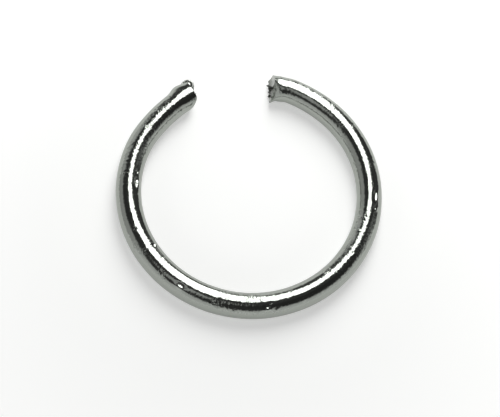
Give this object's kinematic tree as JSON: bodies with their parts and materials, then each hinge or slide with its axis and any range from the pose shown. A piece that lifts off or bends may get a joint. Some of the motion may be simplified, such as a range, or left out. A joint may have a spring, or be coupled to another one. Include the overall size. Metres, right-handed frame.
{
  "type": "snap ring",
  "caption": "Open round-wire snap ring of bright spring steel that springs into a groove to hold a part on a shaft, with its two ends left as cut.",
  "frame": {"origin": "centre of the ring, on its axis, halfway up the thickness of the wire", "axes": "+Z along the ring's axis, +Y from the centre through the middle of the gap"},
  "size_m": [0.0208, 0.0204, 0.002],
  "materials": {
    "bright_spring_wire": "polished"
  },
  "bodies": {
    "root": {"snap_ring": "bright_spring_wire"}
  },
  "joints": []
}
